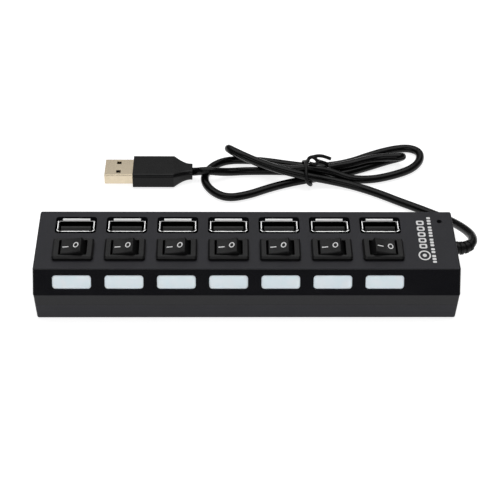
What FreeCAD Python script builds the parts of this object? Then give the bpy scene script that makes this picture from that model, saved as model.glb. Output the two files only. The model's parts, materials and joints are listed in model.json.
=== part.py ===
"""Seven-port USB hub with a switch at every port, a cord and a USB-A plug.

Row frame, in millimetres: +X to the right along the case, +Y to the back, +Z up.
The origin is the middle of the case's underside. The deck, which holds the ports
and switches, slopes down to the front, and the window facet slopes below it.
"""
import FreeCAD, Part
import math
import os

import Sketcher
from FreeCAD import Placement, Rotation, Vector

SIZES = [
    ("case", [
        ("case_height", 24.87, "underside to the back edge of the deck"),
        ("seam_height", 11.6, "underside to the joint between the two covers"),
        ("deck_tilt", 8.0, "slope of the deck, in degrees"),
        ("deck_depth", 29.935, "front to back along the slope"),
        ("deck_back", 16.9, "y of the deck's back edge"),
        ("deck_zero", 30.595, "from the deck's back edge down to the line that lines count from"),
        ("seam_front", 17.0, "top cover's reach to the front at the seam"),
        ("seam_back", 17.5, "top cover's reach to the back at the seam"),
        ("top_half", 77.75, "half length of the case at the deck"),
        ("seam_half", 78.1, "half length of the top cover at the seam"),
        ("base_overhang", 0.35, "top cover proud of the base, front and back"),
        ("base_end_overhang", 0.05, "top cover proud of the base, at the ends"),
        ("base_front", 16.2, "base's reach to the front at the underside"),
        ("base_back", 16.8, "base's reach to the back at the underside"),
        ("base_half", 77.5, "half length of the base at the underside"),
        ("wall", 1.6, "wall of both covers"),
        ("floor_wall", 1.8, "floor of the base"),
        ("corner_radius", 0.8, "upright corners"),
        ("deck_edge_radius", 0.6, "rim of the deck"),
        ("foot_edge_radius", 0.7, "rim of the underside"),
    ]),
    ("stations", [
        ("station_pitch", 19.0, "from one port to the next"),
        ("station_middle", -6.85, "x of the fourth port"),
        ("port_line", 23.05, "ports' distance up the deck from its zero line"),
        ("switch_line", 9.86, "switches' distance up the deck"),
        ("window_line", 4.98, "windows' distance up the facet from the seam"),
    ]),
    ("screws", [
        ("boss_left", -73.4, "x of the left bosses"),
        ("boss_right", 63.0, "x of the right bosses"),
        ("boss_front", -10.5, "y of the front bosses"),
        ("boss_back", 11.5, "y of the back bosses"),
        ("boss_radius", 2.2, "top cover's bosses"),
        ("boss_foot", 4.6, "height at which a boss meets its pillar"),
        ("boss_front_top", 20.0, "top of the front bosses, inside the deck's wall"),
        ("boss_back_top", 23.2, "top of the back bosses, inside the deck's wall"),
        ("pilot_radius", 1.0, "screw hole in a boss"),
        ("pilot_top", 13.6, "end of the screw hole"),
        ("pillar_radius", 3.0, "base's pillars"),
        ("screw_clearance", 1.15, "screw hole in a pillar"),
        ("head_recess_radius", 2.3, "recess for the screw head"),
        ("head_recess_depth", 2.2, "recess for the screw head"),
        ("screw_radius", 0.96, "screw's core"),
        ("screw_tip", 12.6, "height of the screw's tip"),
        ("head_radius", 2.0, "pan head"),
        ("head_thickness", 1.3, "pan head"),
        ("cross_length", 2.2, "cross recess in the head"),
        ("cross_width", 0.6, "cross recess in the head"),
        ("cross_depth", 0.7, "cross recess in the head"),
    ]),
    ("board", [
        ("board_left", -71.0, "x of the board's left edge"),
        ("board_right", 74.0, "x of the board's right edge"),
        ("board_front", -2.0, "board's front edge, along the slope"),
        ("board_back", 25.7, "board's back edge, along the slope"),
        ("board_thickness", 1.6, "glass-fibre board"),
        ("board_drop", 14.0, "from the deck's face down to the board"),
        ("board_hole_radius", 2.6, "clearance round a boss"),
        ("rib_thickness", 1.2, "base's ribs under the board"),
        ("tab_width", 3.0, "base's locating tabs"),
        ("tab_thickness", 0.8, "base's locating tabs"),
        ("tab_low", 10.95, "base's locating tabs"),
        ("tab_high", 13.4, "base's locating tabs"),
    ]),
    ("ports", [
        ("port_hole_width", 15.4, "hole in the deck"),
        ("port_hole_depth", 8.6, "hole in the deck"),
        ("port_hole_radius", 1.3, "hole in the deck"),
        ("shell_width", 13.1, "receptacle's steel shell"),
        ("shell_depth", 5.72, "receptacle's steel shell"),
        ("shell_sheet", 0.3, "sheet steel"),
        ("shell_radius", 0.5, "corners of the shell"),
        ("lip_height", 0.7, "flared lips round the mouth"),
        ("back_lip_flare", 0.5, "how far the back lip leans out"),
        ("front_lip_flare", 0.62, "how far the front lip leans out"),
        ("side_lip_flare", 0.3, "how far the side lips lean out"),
        ("corner_lip_flare", 0.45, "how far the front corners' lips lean out"),
        ("corner_lip_length", 1.3, "lips at the front corners of the mouth"),
        ("back_lip_length", 10.2, "lip at the back of the mouth"),
        ("front_lip_length", 10.3, "lip at the front of the mouth"),
        ("side_lip_length", 4.1, "lips at the mouth's ends"),
        ("tongue_width", 11.1, "plastic tongue"),
        ("tongue_thickness", 1.84, "plastic tongue"),
        ("tongue_gap", 0.7, "from the tongue to the front wall of the shell"),
        ("tongue_recess", 0.5, "from the mouth down to the tongue"),
        ("tongue_bevel", 0.75, "bevel on the front of the tongue"),
        ("insulator_height", 4.5, "block that fills the foot of the shell"),
        ("insulator_gap", 0.05, "round the block"),
        ("contact_width", 1.1, "gold contact strips"),
        ("contact_thickness", 0.25, "gold contact strips"),
        ("contact_recess", 2.6, "from the mouth down to a contact"),
        ("power_contact_place", 3.5, "outer contacts' distance from the middle"),
        ("data_contact_place", 1.0, "inner contacts' distance from the middle"),
    ]),
    ("switches", [
        ("switch_hole_width", 13.2, "hole in the deck"),
        ("switch_hole_depth", 8.8, "hole in the deck"),
        ("flange_width", 15.0, "switch's flange"),
        ("flange_depth", 10.4, "switch's flange"),
        ("flange_height", 1.6, "switch's flange"),
        ("flange_radius", 1.0, "corners of the flange"),
        ("flange_bevel", 0.6, "bevel round the flange"),
        ("frame_width", 12.9, "switch body below the flange"),
        ("frame_depth", 8.5, "switch body below the flange"),
        ("frame_height", 10.0, "switch body below the flange"),
        ("frame_floor", 1.0, "floor of the switch body"),
        ("opening_width", 10.4, "opening for the rocker"),
        ("opening_depth", 7.5, "opening for the rocker"),
        ("latch_reach", 0.5, "snap latches under the deck"),
        ("latch_low", 4.0, "snap latches under the deck"),
        ("latch_high", 1.75, "snap latches under the deck"),
        ("pivot_drop", 1.0, "rocker's pivot below the deck's face"),
        ("pin_radius", 0.75, "rocker's pins"),
        ("pin_hole_radius", 0.83, "holes for the pins"),
        ("pin_span", 8.3, "over both pins"),
        ("rocker_half", 3.75, "half width of the rocker's top"),
        ("rocker_valley", 3.5, "pivot to the middle of the rocker's top"),
        ("rocker_lean", 4.5, "each half of the top leans this much, in degrees"),
        ("rocker_rest", 11.0, "rocker at rest, in degrees"),
        ("rocker_depth", 7.1, "rocker, front to back"),
        ("rocker_waist", 4.9, "half width of the rocker at its pivot"),
        ("rocker_hip", 4.2, "half width of the rocker below its pivot"),
        ("rocker_hip_drop", 2.4, "pivot to the rocker's hips"),
        ("rocker_keel", 2.0, "half width of the rocker's lower edge"),
        ("rocker_drop", 3.8, "pivot to the rocker's lower edge"),
        ("rocker_edge_radius", 0.35, "edges of the rocker's top"),
        ("rocker_valley_radius", 12.0, "hollow in the middle of the rocker's top"),
        ("lever_length", 7.0, "see-saw contact"),
        ("lever_width", 3.2, "see-saw contact"),
        ("lever_thickness", 0.4, "see-saw contact"),
        ("lever_drop", 7.2, "see-saw contact's pivot below the deck's face"),
        ("lever_lean", 8.0, "see-saw contact at rest, in degrees"),
        ("terminal_width", 2.0, "terminal blades"),
        ("terminal_thickness", 0.6, "terminal blades"),
        ("terminal_offset", 3.0, "contact terminal's distance from the middle"),
        ("pole_top", 7.75, "top of the middle terminal, below the deck's face"),
        ("contact_top", 8.3, "top of the contact terminal, below the deck's face"),
    ]),
    ("windows", [
        ("window_width", 14.2, "window in the facet"),
        ("window_height", 5.15, "window in the facet"),
        ("window_radius", 1.25, "corners of a window"),
        ("window_gap", 0.06, "between a window's pad and its hole"),
        ("window_recess", 0.12, "pad below the facet's face"),
        ("window_rim", 0.95, "rim round the shallow pocket in a pad"),
        ("window_pocket", 0.15, "depth of the pocket"),
        ("window_pocket_radius", 0.7, "corners of the pocket"),
        ("guide_thickness", 1.5, "strip behind the facet"),
        ("guide_height", 6.8, "strip behind the facet"),
        ("guide_margin", 0.15, "strip past the end windows"),
        ("led_width", 3.4, "window's lamp"),
        ("led_depth", 2.8, "window's lamp"),
        ("led_height", 1.9, "window's lamp"),
        ("led_line", 0.6, "lamps' distance up the slope"),
        ("power_led_across", 72.7, "x of the power lamp"),
        ("power_led_line", 25.08, "power lamp's distance up the deck"),
        ("power_led_hole", 0.95, "radius of its hole in the deck"),
        ("power_led_radius", 1.3, "power lamp"),
        ("power_led_low", 7.0, "power lamp's foot below the deck's face"),
        ("power_led_high", 3.6, "foot of the lamp's dome below the deck's face"),
        ("lead_width", 0.45, "power lamp's leads"),
    ]),
    ("inside", [
        ("chip_length", 10.2, "controller chips"),
        ("chip_width", 4.0, "controller chips"),
        ("chip_height", 1.7, "controller chips"),
        ("chip_lead_pitch", 0.9, "leads of a controller chip"),
        ("chip_lead_reach", 1.0, "leads of a controller chip"),
        ("crystal_length", 10.0, "crystal's can"),
        ("crystal_width", 4.3, "crystal's can"),
        ("crystal_height", 3.0, "crystal's can"),
        ("capacitor_radius", 2.5, "filter capacitors"),
        ("capacitor_height", 6.0, "filter capacitors"),
        ("resistor_length", 2.0, "chip resistors"),
        ("resistor_width", 1.25, "chip resistors"),
        ("resistor_height", 0.5, "chip resistors"),
    ]),
    ("jack", [
        ("jack_line", 5.7, "jack's distance up the deck"),
        ("jack_left", 65.5, "x of the jack's inner end"),
        ("jack_shoulder", 75.6, "x of the jack's shoulder"),
        ("jack_mouth", 77.6, "x of the jack's mouth"),
        ("jack_width", 6.4, "jack's block"),
        ("jack_height", 7.0, "jack's block"),
        ("jack_axis_height", 4.1, "jack's axis above the board"),
        ("jack_collar_radius", 2.8, "collar in the end wall"),
        ("jack_hole_radius", 2.95, "hole in the end wall"),
        ("jack_bore_radius", 1.8, "socket"),
        ("jack_bore_depth", 8.5, "socket"),
        ("jack_pin_radius", 0.65, "centre pin"),
        ("jack_pin_recess", 1.0, "centre pin inside the mouth"),
    ]),
    ("cord", [
        ("outlet_back", 11.0, "y of the cord's outlet"),
        ("outlet_hole_radius", 2.3, "hole in the end wall"),
        ("relief_neck_radius", 2.2, "strain relief in the wall"),
        ("relief_flange_radius", 3.2, "strain relief inside the wall"),
        ("relief_inner", 74.7, "x of the strain relief's inner end"),
        ("relief_flange_end", 75.9, "x of the inner flange's outer face"),
        ("relief_shoulder", 78.16, "x of the strain relief's shoulder"),
        ("relief_bend", 81.2, "x at which the strain relief starts to bend"),
        ("relief_bend_radius", 7.0, "bend of its axis"),
        ("relief_turn", 46.0, "turn of the bend to the back, in degrees"),
        ("relief_core_radius", 2.0, "strain relief between its ribs"),
        ("relief_root_radius", 2.7, "strain relief at the case"),
        ("relief_tip_radius", 2.25, "strain relief at its tip"),
        ("relief_rib", 1.05, "width of a rib"),
        ("relief_rib_pitch", 1.85, "from one rib to the next"),
        ("cord_radius", 1.75, "cord"),
        ("wire_radius", 0.45, "insulated wires inside the case"),
        ("wire_spacing", 1.0, "insulated wires inside the case"),
        ("wire_shift", 0.7, "wires' middle in front of the outlet's"),
        ("wire_end", 68.6, "x of the wires' ends on the board"),
    ]),
    ("hank", [
        ("tie_across", 27.1, "x of the tie"),
        ("tie_back", 71.6, "y of the tie's middle"),
        ("tie_height", 5.2, "height of the tie's middle"),
        ("tie_radius", 4.6, "tie's ring, to the middle of its wire"),
        ("tie_wire_radius", 0.6, "tie's plastic-covered wire"),
        ("waist_radius", 3.9, "bundle under the tie"),
        ("waist_half", 6.0, "half length of the bundle under the tie"),
        ("hank_height", 5.2, "folds on each side of the tie"),
        ("fold_low", 3.4, "underside of the fold that lies on top, left of the tie"),
        ("fold_high", 11.0, "its top"),
        ("tail_length", 9.0, "twisted tail of the tie"),
    ]),
    ("plug", [
        ("plug_end", -21.8, "x at which the cord meets the plug"),
        ("plug_back", 74.3, "y of the plug's axis"),
        ("plug_axis_height", 3.4, "plug's axis above the floor"),
        ("grip_width", 15.5, "moulded grip"),
        ("grip_height", 6.8, "moulded grip"),
        ("grip_radius", 1.5, "edges of the grip"),
        ("grip_length", 25.0, "moulded grip with its taper"),
        ("taper_length", 7.8, "taper down to the neck"),
        ("neck_width", 7.6, "grip's neck"),
        ("neck_height", 5.0, "grip's neck"),
        ("neck_radius", 2.0, "grip's neck"),
        ("plug_width", 12.0, "steel shell of the plug"),
        ("plug_height", 4.5, "steel shell of the plug"),
        ("plug_reach", 11.9, "steel shell outside the grip"),
        ("plug_depth", 6.8, "steel shell inside the grip"),
        ("plug_sheet", 0.3, "sheet steel"),
        ("plug_radius", 0.45, "edges of the steel shell"),
        ("latch_hole", 1.9, "square latch holes"),
        ("latch_hole_place", 5.8, "from the tip to the latch holes' middle"),
        ("latch_hole_apart", 6.5, "between the latch holes"),
        ("plug_tongue_width", 11.3, "plastic tongue"),
        ("plug_tongue_height", 1.9, "plastic tongue"),
        ("plug_tongue_recess", 0.35, "tongue inside the tip"),
        ("plug_contact_width", 1.0, "contact strips"),
        ("plug_contact_height", 0.15, "contact strips"),
        ("power_strip_recess", 1.6, "outer strips inside the tip"),
        ("data_strip_recess", 2.6, "inner strips inside the tip"),
        ("strip_length", 7.4, "contact strips"),
    ]),
]
STATIONS = 7

# Corners of the cord's route from the strain relief to the hank, on its centreline.
CORD_FROM_CASE = [
    (86.26, 13.163, 11.6), (87.1, 14.03, 11.6), (87.9, 15.9, 11.3), (88.25, 18.7, 10.8),
    (87.9, 22.4, 9.8), (86.6, 27.2, 8.4), (84.5, 33.3, 6.4), (82.0, 39.2, 4.3),
    (78.6, 45.2, 2.3), (72.4, 50.6, 1.75), (64.4, 56.0, 1.75), (56.0, 61.9, 1.75),
    (49.0, 66.0, 1.75), (44.4, 68.2, 1.9),
]
# Its route from the hank to the plug.
CORD_TO_PLUG = [(-19.0, 73.5, 4.55), (-20.4, 74.2, 3.7), (-21.8, 74.3, 3.4)]
# Outer edges of the hank's two lobes and the openings in them, seen from above.
LEFT_LOBE = [
    (24.6, 76.8), (19.4, 81.6), (10.8, 86.0), (1.0, 87.4), (-8.8, 86.8), (-16.0, 80.6),
    (-18.9, 71.6), (-15.8, 62.2), (-8.0, 55.5), (2.4, 58.1), (10.8, 63.3), (19.0, 67.4),
    (24.6, 68.2),
]
LEFT_OPENINGS = [
    [(9.0, 67.8), (0.6, 62.8), (-7.2, 60.2), (-12.6, 65.0), (-14.2, 69.6), (-9.4, 71.2),
     (-2.6, 73.2), (4.0, 72.0)],
    [(11.6, 80.4), (2.0, 83.2), (-7.4, 82.6), (-12.6, 78.2), (-12.0, 76.0), (-5.0, 78.0),
     (3.0, 79.6)],
]
# The fold that lies on the left lobe.
LEFT_FOLD = [
    (24.6, 67.8), (17.8, 67.3), (9.8, 70.4), (3.2, 73.8), (-1.6, 75.8), (-6.2, 79.4),
    (-7.7, 83.6), (-5.8, 86.7), (-2.0, 87.0), (3.3, 83.2), (7.6, 79.8), (12.8, 76.8),
    (20.0, 74.2), (24.6, 73.0),
]
RIGHT_LOBE = [
    (29.6, 76.6), (36.8, 81.4), (45.2, 85.2), (55.3, 91.3), (64.6, 95.5), (72.8, 97.0),
    (78.5, 92.2), (78.3, 84.6), (73.0, 77.4), (64.6, 72.6), (54.5, 69.3), (49.2, 69.7),
    (45.8, 69.9), (44.1, 68.2), (42.6, 66.8), (36.6, 67.6), (29.6, 68.4),
]
RIGHT_OPENINGS = [
    [(49.5, 75.0), (56.5, 74.9), (64.0, 78.0), (69.4, 81.6), (62.5, 80.2), (55.5, 78.8)],
    [(71.6, 83.6), (74.0, 87.6), (73.0, 91.6), (68.4, 91.4), (63.0, 89.2), (68.2, 88.4),
     (71.0, 86.2)],
]

doc = FreeCAD.newDocument("usb_hub")
sheet = doc.addObject("Spreadsheet::Sheet", "dims")
kept = []


def fill_sheet():
    """Writes each group of driving dimensions, with an alias on every number."""
    row = 1
    for group, cells in SIZES:
        sheet.set(f"A{row}", group)
        row += 1
        for alias, number, meaning in cells:
            sheet.set(f"A{row}", alias)
            sheet.set(f"B{row}", f"{number:g}")
            sheet.set(f"C{row}", meaning)
            sheet.setAlias(f"B{row}", alias)
            row += 1
    doc.recompute()


def formula(text):
    """An expression on the sheet: every word in it that is an alias gets its sheet's name."""
    text = str(text)
    aliases = sorted((a for _, cells in SIZES for a, _, _ in cells), key=len, reverse=True)
    words = text.replace("(", "( ").replace(")", " )").split()
    return " ".join(f"dims.{word}" if word in aliases else word for word in words)


def value(text):
    """The number that an expression on the sheet has."""
    return float(sheet.evalExpression(formula(text)))


def bind(item, **sizes):
    """Binds properties of an object to expressions on the sheet."""
    for name, text in sizes.items():
        item.setExpression(name, formula(text))


def keep(item, label, place=None):
    """Names a finished sub-part, puts it where it belongs and lists it for export."""
    item.Label = label
    if place is not None:
        item.Placement = place
    kept.append(item)
    return item


# The deck and the facet as local frames -----------------------------------------------

CREASE_Y = "( deck_back - deck_depth * cos( deck_tilt * 1 deg ) )"
CREASE_Z = "( case_height - deck_depth * sin( deck_tilt * 1 deg ) )"
ZERO_Y = "( deck_back - deck_zero * cos( deck_tilt * 1 deg ) )"
ZERO_Z = "( case_height - deck_zero * sin( deck_tilt * 1 deg ) )"


def deck(across, up, turn=0.0, drop=0.0):
    """A placement on the deck: x across it, y up the slope, z out of it."""
    tilt = value("deck_tilt")
    slope = Placement(Vector(across, value(ZERO_Y), value(ZERO_Z)), Rotation(Vector(1, 0, 0), tilt))
    local = Placement(Vector(0, up, -drop), Rotation(Vector(0, 1, 0), turn))
    return slope.multiply(local)


def facet_angle():
    rise = value(f"{CREASE_Z} - seam_height")
    return math.degrees(math.atan2(rise, value(f"{CREASE_Y} + seam_front")))


def facet(across, up):
    """A placement on the window facet: x across it, y up it, z out of it."""
    foot = Vector(across, -value("seam_front"), value("seam_height"))
    slope = Placement(foot, Rotation(Vector(1, 0, 0), facet_angle()))
    return slope.multiply(Placement(Vector(0, up, 0), Rotation()))


def stations():
    """The number and the x of each station, from the left."""
    middle = value("station_middle")
    pitch = value("station_pitch")
    return [(k + 1, middle + pitch * (k - (STATIONS - 1) / 2)) for k in range(STATIONS)]


# Shapes -------------------------------------------------------------------------------

PLANES = {
    "XY": (Rotation(), Vector(0, 0, 1)),
    "XZ": (Rotation(Vector(1, 0, 0), 90), Vector(0, 1, 0)),
    "YZ": (Rotation(Vector(1, 1, 1), 120), Vector(1, 0, 0)),
}


def polygon(name, corners, plane):
    """A closed sketch whose corners are bound to the sheet."""
    sketch = doc.addObject("Sketcher::SketchObject", name)
    sketch.Placement = Placement(Vector(), PLANES[plane][0])
    spots = [Vector(value(x), value(y), 0) for x, y in corners]
    for start, end in zip(spots, spots[1:] + spots[:1]):
        sketch.addGeometry(Part.LineSegment(start, end), False)
    for k in range(len(corners)):
        sketch.addConstraint(Sketcher.Constraint("Coincident", k, 2, (k + 1) % len(corners), 1))
    for k, corner in enumerate(corners):
        for kind, text, spot in zip(("DistanceX", "DistanceY"), corner, (spots[k].x, spots[k].y)):
            number = sketch.addConstraint(Sketcher.Constraint(kind, -1, 1, k, 1, spot))
            sketch.setExpression(f"Constraints[{number}]", formula(text))
    return sketch


def prism(name, corners, plane, length):
    """A polygon extruded to both sides of its plane."""
    item = doc.addObject("Part::Extrusion", name)
    item.Base = polygon(f"{name}_outline", corners, plane)
    item.DirMode = "Custom"
    item.Dir = PLANES[plane][1]
    item.Solid = True
    item.Symmetric = True
    bind(item, LengthFwd=length)
    return item


def box(name, size, low):
    """A box of three lengths with its low corner at three coordinates."""
    item = doc.addObject("Part::Box", name)
    bind(item, Length=size[0], Width=size[1], Height=size[2])
    for axis, text in zip("xyz", low):
        bind(item, **{f"Placement.Base.{axis}": text})
    return item


def cylinder(name, radius, height, low, along="z"):
    """A cylinder whose first end is centred on low."""
    item = doc.addObject("Part::Cylinder", name)
    turn = {"z": Rotation(), "x": Rotation(Vector(0, 1, 0), 90), "y": Rotation(Vector(1, 0, 0), -90)}
    item.Placement = Placement(Vector(), turn[along])
    bind(item, Radius=radius, Height=height)
    for axis, text in zip("xyz", low):
        bind(item, **{f"Placement.Base.{axis}": text})
    return item


def fuse(name, items):
    item = doc.addObject("Part::MultiFuse", name)
    item.Shapes = items
    item.Refine = True
    return item


def group(name, items):
    """Separate solids as one object."""
    item = doc.addObject("Part::Compound", name)
    item.Links = items
    return item


def cut(name, base, tools):
    item = doc.addObject("Part::Cut", name)
    item.Base = base
    item.Tool = tools[0] if len(tools) == 1 else group(f"{name}_tools", tools)
    item.Refine = True
    return item


def common(name, first, second):
    item = doc.addObject("Part::Common", name)
    item.Base = first
    item.Tool = second
    return item


def edges_where(item, test):
    """The numbers of the edges whose two ends and middle pass a test."""
    doc.recompute()
    found = []
    for number, edge in enumerate(item.Shape.Edges, 1):
        ends = [vertex.Point for vertex in edge.Vertexes]
        if len(ends) == 2 and test(*ends):
            found.append(number)
    return found


def rounded(name, base, radius, test, kind="Part::Fillet"):
    """Rounds, or bevels, the edges that pass a test."""
    size = value(radius)
    numbers = edges_where(base, test)
    item = doc.addObject(kind, name)
    item.Base = base
    item.Edges = [(number, size, size) for number in numbers]
    return item


def upright(a, b):
    return abs(a.x - b.x) + abs(a.y - b.y) < 0.01


def rounded_box(name, size, low, radius):
    """A box with rounded upright edges."""
    return rounded(name, box(f"{name}_box", size, low), radius, upright)


def centred(width, depth, height, bottom):
    """The size and low corner of a box that is centred on x and y."""
    return (width, depth, height), (f"0 - ( {width} ) / 2", f"0 - ( {depth} ) / 2", bottom)


def inset(corners, walls):
    """The corners of a convex outline moved in by a wall on each of its sides, counted
    from the side that starts at the first corner; corners run clockwise."""
    lines = []
    for (x1, y1), (x2, y2), wall in zip(corners, corners[1:] + corners[:1], walls):
        length = math.hypot(x2 - x1, y2 - y1)
        inward = ((y2 - y1) / length * wall, -(x2 - x1) / length * wall)
        lines.append((x1 + inward[0], y1 + inward[1], x2 - x1, y2 - y1))
    moved = []
    for (ax, ay, au, av), (bx, by, bu, bv) in zip(lines[-1:] + lines[:-1], lines):
        share = ((bx - ax) * bv - (by - ay) * bu) / (au * bv - av * bu)
        moved.append((ax + share * au, ay + share * av))
    return moved


# Covers -------------------------------------------------------------------------------

TOP_OUTLINE = [
    ("0 - seam_front", "seam_height"), (CREASE_Y, CREASE_Z),
    ("deck_back", "case_height"), ("seam_back", "seam_height"),
]
TOP_ENDS = [
    ("0 - seam_half", "seam_height"), ("0 - top_half", "case_height + 1"),
    ("top_half", "case_height + 1"), ("seam_half", "seam_height"),
]
BASE_OUTLINE = [
    ("0 - base_front", "0"), ("base_overhang - seam_front", "seam_height"),
    ("seam_back - base_overhang", "seam_height"), ("base_back", "0"),
]
BASE_ENDS = [
    ("0 - base_half", "0"), ("base_end_overhang - seam_half", "seam_height"),
    ("seam_half - base_end_overhang", "seam_height"), ("base_half", "0"),
]
REACH = "4 * seam_half"


def evaluated(corners):
    return [(value(x), value(y)) for x, y in corners]


def end_holes(name):
    """Tools for the two holes through the right end wall, half in each cover."""
    jack_spot = deck(0, value("jack_line"), drop=value("board_drop - jack_axis_height")).Base
    return [
        cylinder(f"{name}_outlet", "outlet_hole_radius", "9",
                 ("relief_inner - 1", "outlet_back", "seam_height"), "x"),
        cylinder(f"{name}_jack", "jack_hole_radius", "4.6",
                 ("jack_shoulder - 0.4", jack_spot.y, jack_spot.z), "x"),
    ]


def boss_spots():
    return [(x, y) for x in ("boss_left", "boss_right") for y in ("boss_front", "boss_back")]


def case_blank(name, outline, ends):
    """The outer shape of a cover: its section, with both ends drafted."""
    length = prism(f"{name}_section", outline, "YZ", REACH)
    blank = common(f"{name}_blank", length, prism(f"{name}_ends", ends, "XZ", REACH))
    corner = rounded(
        f"{name}_corners", blank, "corner_radius",
        lambda a, b: abs(a.x - b.x) < 1 and abs(a.z - b.z) > 5,
    )
    return corner


def case_hollow(name, outline, ends, walls, end_walls):
    """The space inside a cover."""
    section = inset(evaluated(outline), walls)
    across = inset(evaluated(ends), end_walls)
    length = prism(f"{name}_hollow_section", section, "YZ", REACH)
    return common(f"{name}_hollow", length, prism(f"{name}_hollow_ends", across, "XZ", REACH))


def make_top_cover():
    wall = value("wall")
    blank = case_blank("top", TOP_OUTLINE, TOP_ENDS)
    deck_low = value(CREASE_Z) - 0.5
    rim = rounded(
        "top_rim", blank, "deck_edge_radius",
        lambda a, b: min(a.z, b.z) > deck_low and abs(a.z - b.z) < 6,
    )
    hollow = case_hollow(
        "top", TOP_OUTLINE, TOP_ENDS, (wall, wall, wall, -1), (wall, 0, wall, -1)
    )
    tools = [hollow] + end_holes("top_hole")
    for number, x in stations():
        port = rounded_box(
            f"port_hole_{number}",
            *centred("port_hole_width", "port_hole_depth", "4 * wall", "0 - 2 * wall"),
            "port_hole_radius",
        )
        port.Placement = deck(x, value("port_line"))
        seat = box(
            f"switch_hole_{number}",
            *centred("switch_hole_width", "switch_hole_depth", "4 * wall", "0 - 2 * wall"),
        )
        seat = group(f"switch_hole_at_{number}", [seat])
        seat.Placement = deck(x, value("switch_line"))
        window = rounded_box(
            f"window_hole_{number}",
            *centred("window_width", "window_height", "4 * wall", "0 - 2 * wall"),
            "window_radius",
        )
        window.Placement = facet(x, value("window_line"))
        tools += [port, seat, window]
    lamp = cylinder("power_led_hole", "power_led_hole", "4 * wall", ("0", "0", "0 - 2 * wall"))
    lamp = group("power_led_hole_at", [lamp])
    lamp.Placement = deck(value("power_led_across"), value("power_led_line"))
    shell = cut("top_shell", rim, tools + [lamp])
    bosses = [
        cylinder(f"boss_{k}", "boss_radius", f"{y}_top - boss_foot", (x, y, "boss_foot"))
        for k, (x, y) in enumerate(boss_spots())
    ]
    pilots = [
        cylinder(f"pilot_{k}", "pilot_radius", "pilot_top - boss_foot + 1", (x, y, "boss_foot - 1"))
        for k, (x, y) in enumerate(boss_spots())
    ]
    keep(cut("top_cover_solid", fuse("top_with_bosses", [shell] + bosses), pilots), "top_cover")


def gaps_between_stations():
    spots = [x for _, x in stations()]
    return [(a + b) / 2 for a, b in zip(spots, spots[1:])]


def make_base_cover():
    wall = value("wall")
    blank = case_blank("base", BASE_OUTLINE, BASE_ENDS)
    rim = rounded("base_rim", blank, "foot_edge_radius", lambda a, b: max(a.z, b.z) < 0.2)
    hollow = case_hollow(
        "base", BASE_OUTLINE, BASE_ENDS,
        (wall, -1, wall, value("floor_wall")), (wall, -1, wall, value("floor_wall")),
    )
    shell = cut("base_shell", rim, [hollow])
    pillars = [
        common(
            f"pillar_in_case_{k}",
            cylinder(f"pillar_{k}", "pillar_radius", "boss_foot - 1", (x, y, "1")), rim,
        )
        for k, (x, y) in enumerate(boss_spots())
    ]
    under = (value(ZERO_Y), value(ZERO_Z))
    tilt = math.radians(value("deck_tilt"))
    below = value("board_drop + board_thickness")
    ends = [
        (
            under[0] + up * math.cos(tilt) + below * math.sin(tilt),
            under[1] + up * math.sin(tilt) - below * math.cos(tilt),
        )
        for up in (value("board_front") + 1, value("board_back") - 1)
    ]
    rib_outline = [(ends[0][0], "1"), ends[0], ends[1], (ends[1][0], "1")]
    ribs = []
    gaps = gaps_between_stations()
    for k, x in enumerate((gaps[0], gaps[3], gaps[5])):
        rib = prism(f"rib_{k}", rib_outline, "YZ", "rib_thickness")
        rib = group(f"rib_at_{k}", [rib])
        rib.Placement = Placement(Vector(x, 0, 0), Rotation())
        ribs.append(rib)
    inner_back = value("seam_back - base_overhang - wall")
    tabs = [
        box(
            f"tab_{k}", ("tab_width", "tab_thickness", "tab_high - tab_low"),
            (f"{x} - tab_width / 2", f"{inner_back - 0.62}", "tab_low"),
        )
        for k, x in enumerate(gaps)
    ]
    solid = fuse("base_with_ribs", [shell] + pillars + ribs + tabs)
    holes = end_holes("base_hole")
    for k, (x, y) in enumerate(boss_spots()):
        holes.append(cylinder(f"shank_hole_{k}", "screw_clearance", "boss_foot + 2", (x, y, "0 - 1")))
        holes.append(
            cylinder(f"head_hole_{k}", "head_recess_radius", "head_recess_depth + 1", (x, y, "0 - 1"))
        )
    keep(cut("base_cover_solid", solid, holes), "base_cover")


def make_cover_screws():
    screws = []
    for k, (x, y) in enumerate(boss_spots()):
        seat = "head_recess_depth"
        shank = cylinder(f"screw_{k}_shank", "screw_radius", f"screw_tip - {seat}", (x, y, seat))
        head = cylinder(
            f"screw_{k}_head", "head_radius", "head_thickness", (x, y, f"{seat} - head_thickness")
        )
        body = fuse(f"screw_{k}_body", [shank, head])
        low = f"{seat} - head_thickness - 0.1"
        slots = [
            box(f"screw_{k}_slot_x", ("cross_length", "cross_width", "cross_depth + 0.1"),
                (f"{x} - cross_length / 2", f"{y} - cross_width / 2", low)),
            box(f"screw_{k}_slot_y", ("cross_width", "cross_length", "cross_depth + 0.1"),
                (f"{x} - cross_width / 2", f"{y} - cross_length / 2", low)),
        ]
        screws.append(cut(f"screw_{k}", body, [fuse(f"screw_{k}_cross", slots)]))
    keep(group("cover_screws_set", screws), "cover_screws")


# Circuit board and what stands on it --------------------------------------------------

def on_board(height, below=False):
    """The low z of a piece on the board, in the deck's frame."""
    if below:
        return f"0 - board_drop - board_thickness - {height}"
    return "0 - board_drop"


def make_circuit_board():
    board = box(
        "board_blank",
        ("board_right - board_left", "board_back - board_front", "board_thickness"),
        ("board_left", "board_front", "0 - board_drop - board_thickness"),
    )
    placed = group("board_at", [board])
    placed.Placement = deck(0, 0)
    holes = [
        cylinder(f"board_hole_{k}", "board_hole_radius", "case_height", ("boss_right", y, "0"))
        for k, y in enumerate(("boss_front", "boss_back"))
    ]
    keep(cut("board_solid", placed, holes), "circuit_board")


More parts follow.
